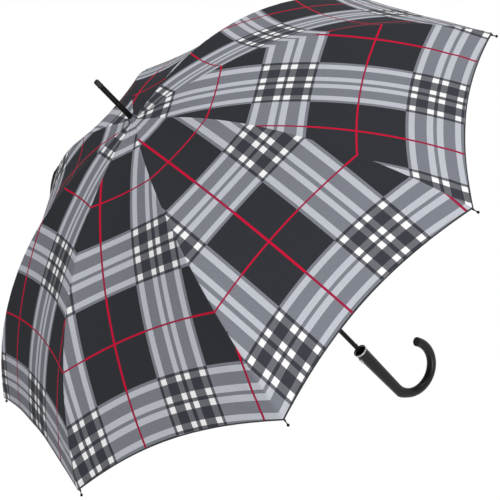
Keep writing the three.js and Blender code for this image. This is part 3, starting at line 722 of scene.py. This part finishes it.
def crown_shell(gore, side):
    """The gathered top of half a gore, from under the ferrule's foot out over the first threads."""
    profile = [(5.1, 12.0), (5.9, 11.3), (7.2, 9.4), (8.4, 7.2), (9.3, 5.6), (10.2, 4.75)]
    threads = np.linspace(1.2, 15, 12)
    lift = CLOTH_ABOVE + 0.62
    outer_r, outer_z = rib_point(threads, lift)
    radius = np.concatenate([[p[0] for p in profile], outer_r])
    height = np.concatenate([[p[1] for p in profile], outer_z])
    steps = np.hypot(np.diff(radius), np.diff(height))
    down = np.concatenate([[0], np.cumsum(steps)])
    down += threads[0] - down[len(profile)]
    share = np.linspace(0, 1, 15) * side
    share = share if side > 0 else share[::-1]
    down, share = np.meshgrid(down, share, indexing="ij")
    radius = np.repeat(radius[:, None], share.shape[1], 1)
    height = np.repeat(height[:, None], share.shape[1], 1)
    pleat = 0.22 * np.cos(share * math.pi * 3 + gore) * smooth_step(np.abs(share), 1, 0.9)
    flatness = smooth_step(radius, 8.5, 13)
    uv = bolt_place(gore, share, radius, down)
    grids = []
    for offset in (0.16, -0.16):
        r = radius + (offset + pleat) * 0.5
        z = height + (offset + pleat) * 0.85 + NOTCH_Z
        turn = share * GORE_HALF
        x = r * ((1 - flatness) * np.cos(turn) + flatness * math.cos(GORE_HALF))
        y = r * ((1 - flatness) * np.sin(turn) + flatness * math.sin(GORE_HALF) * share)
        grids.append(turned_about_z(np.stack([x, y, z], -1), rib_azimuth(gore) + GORE_HALF))
    return cloth_shell(grids[0], grids[1], uv, np.zeros(share.shape[0] - 1, bool))


def crown(rib):
    before = (rib - 2) % ARMS + 1
    piece = cloth_piece(f"crown_{rib}", [crown_shell(rib, -1), crown_shell(before, 1)])
    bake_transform(piece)


def canopy():
    for gore in range(1, ARMS + 1):
        half_gore(gore, -1)
        half_gore(gore, 1)
        crown(gore)


# ---------------------------------------------------------------- strap
def strap():
    """Strap along the seam over the third rib, with a turned hem at both edges and a snap on its end."""
    base = CLOTH_ABOVE + 0.95
    half = STRAP_WIDTH / 2
    across = [-half, -half + 0.3, -half + 1.2, -half + 1.9, -half + 2.2, 0]
    rise = [0.75, 1.15, 1.25, 1.2, 0.95, 0.92]
    across = across + [-a for a in across[-2::-1]]
    rise = rise + rise[-2::-1]
    section = [(a, base + r) for a, r in zip(across, rise)] + [(half, base + 0.2), (-half, base + 0.2)]
    points, faces = rib_sweep(section, np.linspace(*STRAP_SPAN, 60))
    points = turned_about_z(points + (0, 0, NOTCH_Z), rib_azimuth(3))
    piece = as_piece("strap_band", points, faces, [STRAP], 60)
    stand_for(piece, "tie_strap")
    snap_profile = [(0, 0), (5, 0), (5, 0.5), (4.4, 0.9), (3.7, 1.1), (3.5, 1.6), (2.6, 1.8), (2.2, 1.5),
                    (0, 1.35)]
    points, faces = turned(rounded(snap_profile, 0.3, 3, loop=False), 40)
    tilt = SNAP_AT / BEND_R
    radius, height = rib_point(SNAP_AT, base + 1.5)
    matrix = np.array(Matrix.Rotation(tilt, 3, "Y"))
    points = points @ matrix.T + (float(radius), 0, float(height) + NOTCH_Z)
    snap = as_piece("snap_cap", turned_about_z(points, rib_azimuth(3)), faces, [CHROME], 40)
    stand_for(snap, "strap_snap")


# ---------------------------------------------------------------- arms
def rivet(at, half_length, radius=RIVET_R):
    """Round-headed rivet across an arm's plane."""
    outline = [(0, -half_length - 0.35), (radius * 0.7, -half_length - 0.2), (radius, -half_length),
               (radius, half_length), (radius * 0.7, half_length + 0.2), (0, half_length + 0.35)]
    points, faces = turned(outline, 20)
    return np.stack([points[:, 0] + at[0], points[:, 2], points[:, 1] + at[1]], -1), faces


def band_outline(start, end, low, high, steps):
    stations = np.linspace(start, end, steps + 1)
    lower = [tuple(float(v) for v in rib_point(a, low)) for a in stations]
    upper = [tuple(float(v) for v in rib_point(a, high)) for a in stations[::-1]]
    return lower + upper


def arm_piece(name, parts, azimuth, node):
    points, faces = merged(parts)
    points = turned_about_z(points + (0, 0, NOTCH_Z), azimuth)
    piece = as_piece(name, points, faces, [BLACK_STEEL], 35)
    bevelled(piece, 0.12)
    stand_for(piece, node)


def rib(number):
    half = BAR / 2
    side, roof = half + 0.25, half + 0.15
    clip = [(-side, -half), (-side, roof), (side, roof), (side, -half)]
    bead_r, bead_z = rib_point(BEAD_AT)
    parts = [
        plate(band_outline(0, 26, -1.3, 1.1, 8), BLADE),
        plate(link_outline(rib_point(0), rib_point(1.5), 1.35), BLADE),
        rib_sweep(channel_section(), np.linspace(18, 592, 90)),
        rib_sweep(circle(0.85, 12), np.linspace(584, BEAD_AT, 14)),
        ball((float(bead_r), 0, float(bead_z)), 2.3),
        plate(link_outline(rib_point(300, -0.4), STRETCHER_HINGE, EYE_R), BLADE),
        rib_sweep(clip, np.linspace(292, 308, 6)),
    ]
    arm_piece(f"fine_rib_{number}", parts, rib_azimuth(number), f"rib_{number}")


def forked_arm(inner, outer):
    """Channel arm: flattened eye at its inner end and a riveted fork at its outer end."""
    length = np.linalg.norm(np.asarray(outer) - np.asarray(inner))
    parts = [
        plate(link_outline(inner, along_line(inner, outer, 22), EYE_R), BLADE),
        rivet(inner, BLADE / 2, 1.1),
        line_sweep(channel_section(BAR, BAR - 0.2), inner, outer, np.linspace(18, length - 9, 24)),
        rivet(outer, CHEEK_OFFSET + CHEEK / 2),
    ]
    for side in (-CHEEK_OFFSET, CHEEK_OFFSET):
        parts.append(plate(link_outline(along_line(inner, outer, length - 14), outer, EYE_R), CHEEK, side))
    return parts


def arms(number):
    rib(number)
    azimuth = rib_azimuth(number)
    foot = along_line(RUNNER_EYE, STRETCHER_HINGE, 90)
    parts = forked_arm(RUNNER_EYE, STRETCHER_HINGE)
    parts.append(plate(link_outline(foot, STRUT_HINGE, EYE_R), BLADE))
    arm_piece(f"fine_stretcher_{number}", parts, azimuth, f"stretcher_{number}")
    arm_piece(f"fine_strut_{number}", forked_arm(SLIDER_EYE, STRUT_HINGE), azimuth, f"strut_{number}")
    thread_ties(number)


def thread_ties(number):
    """Loops of thread: two that hold the seam to the rib, and the binding of the hem's corner to its wire."""
    parts = []
    for at, size, turns in ((150, 2.3, 3), (450, 2.3, 3), (597.5, 1.35, 5)):
        turn = np.linspace(0, 2 * math.pi * turns, 20 * turns)
        along = at + (turn / turn[-1] - 0.5) * turns * 0.7
        radius, height = rib_point(along, size * np.sin(turn) + (0.9 if at < 590 else 0.2))
        parts.append(tube_along(np.stack([radius, size * np.cos(turn), height], -1), 0.28, 8))
    points, faces = merged(parts)
    points = turned_about_z(points + (0, 0, NOTCH_Z), rib_azimuth(number))
    piece = as_piece(f"ties_{number}", points, faces, [THREAD])
    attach(piece, BODY_OF[f"rib_{number}"])


# ---------------------------------------------------------------- shaft and what slides on it
def lathe_piece(name, outline, material, node, height, segments=64, cuts=(), corner=0.3, loop=True):
    points, faces = turned(rounded(outline, corner, 4, loop), segments)
    piece = as_piece(name, points + (0, 0, height), faces, [material], 35)
    if cuts:
        cut(piece, cuts)
    stand_for(piece, node)


def slot_cutters(low, high):
    """One blade for each arm's slot, kept clear of the shaft."""
    made = []
    for number in range(1, ARMS + 1):
        points, faces = block(SLOT_ROOT_R, 2 * HINGE_R, -SLOT_HALF, SLOT_HALF, low, high)
        made.append((turned_about_z(points, rib_azimuth(number)), faces))
    return made


def in_crook_plane(part):
    points, faces = part
    return turned_about_z(points, CROOK_AZIMUTH), faces


def shaft():
    outline = [(SHAFT_BORE_R, SHAFT_FOOT), (SHAFT_R, SHAFT_FOOT), (SHAFT_R, SHAFT_TOP),
               (SHAFT_BORE_R, SHAFT_TOP)]
    windows = [
        in_crook_plane(block(0, 6, -WINDOW_HALF, WINDOW_HALF, *LATCH_WINDOW)),
        in_crook_plane(block(-6, 0, -WINDOW_HALF, WINDOW_HALF, *BUTTON_WINDOW)),
    ]
    lathe_piece("fine_shaft", outline, BLACK_STEEL, "shaft_tube", 0, 48, windows, 0.1)


def top_of_shaft():
    notch = [(4.6, -16), (7.3, -16), (7.9, -8), (12, -6), (12.5, -4), (12.5, 1.4), (4.6, 1.4)]
    lathe_piece("fine_notch", notch, BLACK_PLASTIC, "top_notch", NOTCH_Z, 64,
                slot_cutters(NOTCH_Z - 20, NOTCH_Z + 4), 0.4)
    cup = [(4.6, 1.7), (8.6, 1.7), (8.6, 3.7), (5.5, 11.7), (4.6, 11.7)]
    lathe_piece("fine_cup", cup, BLACK_PLASTIC, "canopy_cup", NOTCH_Z)
    ferrule = [(0, -16), (3.3, -16), (3.3, 12.3), (5.3, 12.3), (5.3, 13.4), (4.5, 14.4), (4.5, 80.5),
               (4.2, 81), (4.2, 81.8), (4.5, 82.3), (4.5, 84), (2.6, 84), (2.6, 92), (0, 92)]
    lathe_piece("fine_ferrule", ferrule, BLACK_STEEL, "ferrule", NOTCH_Z, 64, (), 0.25, loop=False)
    cap = [(2.9, 84.3), (4.9, 84.3), (4.9, 85.9), (4.55, 86.6), (4.5, 94.5), (3.9, 96.4), (2.4, 97), (0, 97),
           (0, 92.3), (2.9, 92.3)]
    points, faces = turned(cap_profile(cap), 64)
    piece = as_piece("fine_cap", points + (0, 0, NOTCH_Z), faces, [BLACK_PLASTIC], 35)
    stand_for(piece, "ferrule_cap")


def cap_profile(outline):
    """The cap's outline from its socket's roof, on the axis, round its outside and back to the axis."""
    start = outline.index((0, 92.3))
    ordered = outline[start:] + outline[:start]
    return rounded(ordered[:-1], 0.35, 4, loop=False) + [ordered[-1]]


def sliders():
    runner_z = NOTCH_Z + RUNNER_EYE[1]
    low = runner_z - 50
    profile = [(4.6, -50), (9.0, -50), (9.6, -48), (9.25, -36), (9.2, -24), (9.7, -17), (10.4, -12),
               (12.4, -8), (13, -5), (13, 5), (11.6, 6), (7, 6), (7, 8), (4.6, 8)]
    cuts = slot_cutters(low - 1, runner_z + 12)
    groove = in_crook_plane(block(4, 14, -1.9, 1.9, low - 1, low + 18))
    grips = []
    for at in (low + 8, low + 12, low + 16, low + 20):
        grips.append(turned([(9.1, at), (11, at - 0.7), (11, at + 0.7)], 64))
    lathe_piece("fine_runner", profile, BLACK_PLASTIC, "runner", runner_z, 64, [*cuts, groove, *grips], 0.6)
    slider_z = NOTCH_Z + SLIDER_EYE[1]
    profile = [(4.6, -6), (11, -6), (12.5, -4.4), (12.5, 4), (11.4, 5), (7, 5), (7, 7), (4.6, 7)]
    lathe_piece("fine_slider", profile, BLACK_PLASTIC, "upper_slider", slider_z, 64,
                slot_cutters(slider_z - 8, slider_z + 9), 0.5)


def helix(radius, low, high, turns, rest_turns=0.8):
    """Closed-ended coil's centre line, up the shaft."""
    per_turn = 28
    turn = np.linspace(0, turns, int(turns * per_turn))
    rise = smooth_pitch(turn, turns, rest_turns)
    angle = turn * 2 * math.pi
    return np.stack([radius * np.cos(angle), radius * np.sin(angle), low + (high - low) * rise], -1)


def smooth_pitch(turn, turns, rest):
    """Share of the height reached, flat over the resting turns at both ends."""
    share = np.clip((turn - rest * 0.5) / (turns - rest), 0, 1)
    return share * 0.92 + 0.08 * turn / turns


def springs_and_pins():
    runner_top = NOTCH_Z + RUNNER_EYE[1] + 8.3
    slider_low = NOTCH_Z + SLIDER_EYE[1] - 6.3
    points, faces = tube_along(helix(6, runner_top + 0.6, slider_low - 0.6, 8), 0.6, 12)
    spring = as_piece("fine_opening_spring", points, faces, [BRIGHT_STEEL], 60)
    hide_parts("opening_spring")
    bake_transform(spring)
    lower, upper = 5.7, 8.5
    points, faces = tube_along(helix(2.1, -upper, -lower, 3, 0.6), 0.28, 10)
    lying = np.stack([points[:, 2], points[:, 0], points[:, 1] + BUTTON_Z], -1)
    coil = as_piece("fine_button_spring", turned_about_z(lying, CROOK_AZIMUTH), faces, [BRIGHT_STEEL], 60)
    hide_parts("button_spring")
    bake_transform(coil)
    across = CROOK_AZIMUTH + math.pi / 2
    slider_stop = NOTCH_Z + SLIDER_EYE[1] + 9
    pins = (
        ("stop_pin", 1, 13, slider_stop, GORE_HALF),
        ("notch_pin", 1, 13.6, NOTCH_Z - 11, GORE_HALF),
        ("latch_pin", 0.8, 8.9, 53, across),
        ("handle_pin", 1, 18.9, -3, across),
    )
    for node, radius, length, height, azimuth in pins:
        piece = as_piece(f"fine_{node}", *cross_rod(radius, length, height, azimuth), [BRIGHT_STEEL], 40)
        stand_for(piece, node)
    turn = np.arange(96) * 2 * math.pi / 96
    ring = np.stack([HINGE_R * np.cos(turn), HINGE_R * np.sin(turn), np.full(96, NOTCH_Z)], -1)
    wire = as_piece("fine_notch_wire", *tube_along(ring, 0.6, 12, closed=True), [BRIGHT_STEEL], 60)
    stand_for(wire, "notch_wire")


# ---------------------------------------------------------------- handle
def handle_radius(along):
    into_tip = np.clip((along - HANDLE_LENGTH + END_ROUND) / END_ROUND, 0, 1)
    crook = CROOK_R - END_ROUND * (1 - np.sqrt(1 - into_tip ** 2))
    taper = GRIP_TOP_R + (GRIP_END_R - GRIP_TOP_R) * np.clip(along / STRAIGHT, 0, 1)
    return taper + (crook - taper) * smooth_step(along, STRAIGHT - 10, STRAIGHT + 50)


def heel(along):
    """How far the outer side carries straight on past the start of the bend, before its soft corner."""
    turn = min(max(0.0, along - STRAIGHT), HEEL_LENGTH) / CROOK_BEND_R
    outer = CROOK_BEND_R + GRIP_END_R
    fade = 1 - float(smooth_step(along, STRAIGHT + HEEL_LENGTH, STRAIGHT + HEEL_LENGTH + 20))
    return outer * (1 / math.cos(turn) - 1) * fade


def handle_ring(along, radius, sides):
    """Ring of the handle's surface, square to its centre line in the crook's plane."""
    turn = max(0.0, along - STRAIGHT) / CROOK_BEND_R
    x = CROOK_BEND_R * (1 - math.cos(turn))
    z = HANDLE_TOP - min(along, STRAIGHT) - CROOK_BEND_R * math.sin(turn)
    ring = []
    for a in np.arange(sides) * 2 * math.pi / sides:
        out = radius * math.cos(a) - heel(along) * max(0.0, -math.cos(a)) ** 1.5
        ring.append((x + out * math.cos(turn), -radius * math.sin(a), z + out * math.sin(turn)))
    return ring


def handle():
    tip_stations = HANDLE_LENGTH - END_ROUND * (1 - np.sin(np.linspace(0, 1, 8) * math.pi / 2))
    stations = np.concatenate([np.linspace(0, HANDLE_LENGTH - END_ROUND - 0.5, 120), tip_stations])
    rings = [handle_ring(a, float(handle_radius(a)), 64) for a in stations]
    for inset, radius in ((0.1, 5.4), (0.5, 5.1), (0.6, 4.8), (0.6, 2)):
        rings.append(handle_ring(HANDLE_LENGTH - inset, radius, 64))
    piece = as_piece("fine_handle", *in_crook_plane(swept(rings)), [SOFT_TOUCH], 35)
    neck = turned([(10.4, 46), (11.3, 46), (11.3, 50.9), (26, 50.9), (26, 56), (10.4, 56)], 64)
    well = turned([(0, -17.3), (4.6, -17.3), (4.6, 49), (9.9, 49), (9.9, 60), (0, 60)], 64)
    pocket = swept([button_ring(3.5, 6.8, x) for x in (-26, -5.4)])
    cut(piece, [neck, well, in_crook_plane(pocket)])
    stand_for(piece, "handle")


def button_ring(half_width, half_height, x):
    """Upright ring with round ends, about the button's level."""
    ring = []
    for centre, start in ((half_height - half_width, 0), (half_width - half_height, math.pi)):
        for t in np.linspace(0, math.pi, END_STEPS + 1):
            up = centre + half_width * math.sin(start + t)
            ring.append((x, -half_width * math.cos(start + t), BUTTON_Z + up))
    return ring


def collar_and_button():
    outline = [(10.7, 46.3), (11.15, 46.3), (11.15, 51.2), (12.4, 51.2), (12.9, 51.7), (13, 54.2), (12.7, 55),
               (12.1, 55), (11.9, 52.6), (10.7, 51.6)]
    lathe_piece("fine_collar", outline, CHROME, "handle_collar", 0, 96, (), 0.3)
    dome = ((0, -9.0), (0, -12.3), (0.15, -12.8), (0.5, -13.15), (1.1, -13.35), (2.0, -13.42), (2.9, -13.45))
    pad = swept([button_ring(3.2 - inset, 6.5 - inset, x) for inset, x in dome[::-1]])
    stem = block(-10, -1.1, -0.9, 0.9, BUTTON_Z - 0.9, BUTTON_Z + 0.9)
    piece = as_piece("fine_button", *in_crook_plane(merged([pad, stem])), [CHROME], 40)
    stand_for(piece, "push_button")
    frame["nodes"]["latch_lever"].modifiers.new("edges", "BEVEL").width = 0.15 * MM


# ---------------------------------------------------------------- stage
def floor():
    """Pale floor under the umbrella. It is clear from below, so that the underside can be looked at."""
    reach = 30000
    level = -1800
    corners = [(-reach, -reach, level), (reach, -reach, level), (reach, reach, level), (-reach, reach, level)]
    material, tree, shader = new_material("pale_floor")
    place = add_node(tree, "TexCoord").outputs["Object"]
    shade = calc(tree, "MULTIPLY_ADD", noise(tree, place, 0.7, 2.0), 0.02, 0.985)
    tree.links.new(scaled_colour(tree, add_rgb(tree, (255, 255, 255)), shade), shader.inputs["Base Color"])
    shader.inputs["Roughness"].default_value = 0.9
    facing = add_node(tree, "NewGeometry").outputs["Backfacing"]
    clear = add_node(tree, "BsdfTransparent").outputs[0]
    mix = add_node(tree, "MixShader", {0: facing, 1: shader.outputs[0], 2: clear})
    tree.links.new(mix.outputs[0], tree.nodes["Material Output"].inputs["Surface"])
    piece = as_piece("floor", corners, [[0, 1, 2, 3]], [material])


def lights():
    """Even white surroundings, a wide sun from above the crook, and a low lamp that lights the handle."""
    world = bpy.data.worlds.new("studio")
    world.use_nodes = True
    background = world.node_tree.nodes["Background"]
    background.inputs["Color"].default_value = (1, 1, 1, 1)
    background.inputs["Strength"].default_value = 0.5
    bpy.context.scene.world = world
    sun = bpy.data.lights.new("key", "SUN")
    sun.energy = 1.95
    sun.angle = math.radians(40)
    key = bpy.data.objects.new("key", sun)
    key.rotation_mode = "QUATERNION"
    towards_sun = Vector((0.275, -0.48, 0.83))
    key.rotation_quaternion = towards_sun.to_track_quat("Z", "Y")
    bpy.context.scene.collection.objects.link(key)
    low = bpy.data.lights.new("low_fill", "AREA")
    low.shape = "DISK"
    low.size = 0.5
    low.energy = 20
    fill = bpy.data.objects.new("low_fill", low)
    fill.location = (-1.24, -2.36, -0.21)
    fill.rotation_mode = "QUATERNION"
    crook = Vector((0.05, 0, -0.08))
    fill.rotation_quaternion = (fill.location - crook).to_track_quat("Z", "Y")
    fill.visible_camera = False
    bpy.context.scene.collection.objects.link(fill)
    bpy.context.scene.view_settings.view_transform = "Standard"


def camera():
    """Camera above and to the left of the crook, rolled so that the umbrella lies askew in the frame."""
    forward = Vector((0.41937, 0.76186, -0.49366))
    roll = math.radians(44.59)
    level = forward.cross(Vector((0, 0, 1))).normalized()
    upright = level.cross(forward)
    up = (upright * math.cos(roll) + level * math.sin(roll)).normalized()
    right = forward.cross(up)
    lens = bpy.data.cameras.new("camera")
    lens.lens = 109.83
    lens.sensor_width = 36
    lens.clip_start = 0.05
    lens.clip_end = 200
    made = bpy.data.objects.new("camera", lens)
    made.matrix_world = Matrix((right, up, -forward)).transposed().to_4x4()
    made.location = (-1.0954, -1.9619, 1.6365)
    bpy.context.scene.collection.objects.link(made)
    bpy.context.scene.camera = made


# ---------------------------------------------------------------- assembly
camera()
lights()
floor()
dress_cad_nodes()
for arm_number in range(1, ARMS + 1):
    arms(arm_number)
canopy()
strap()
shaft()
top_of_shaft()
sliders()
springs_and_pins()
handle()
collar_and_button()
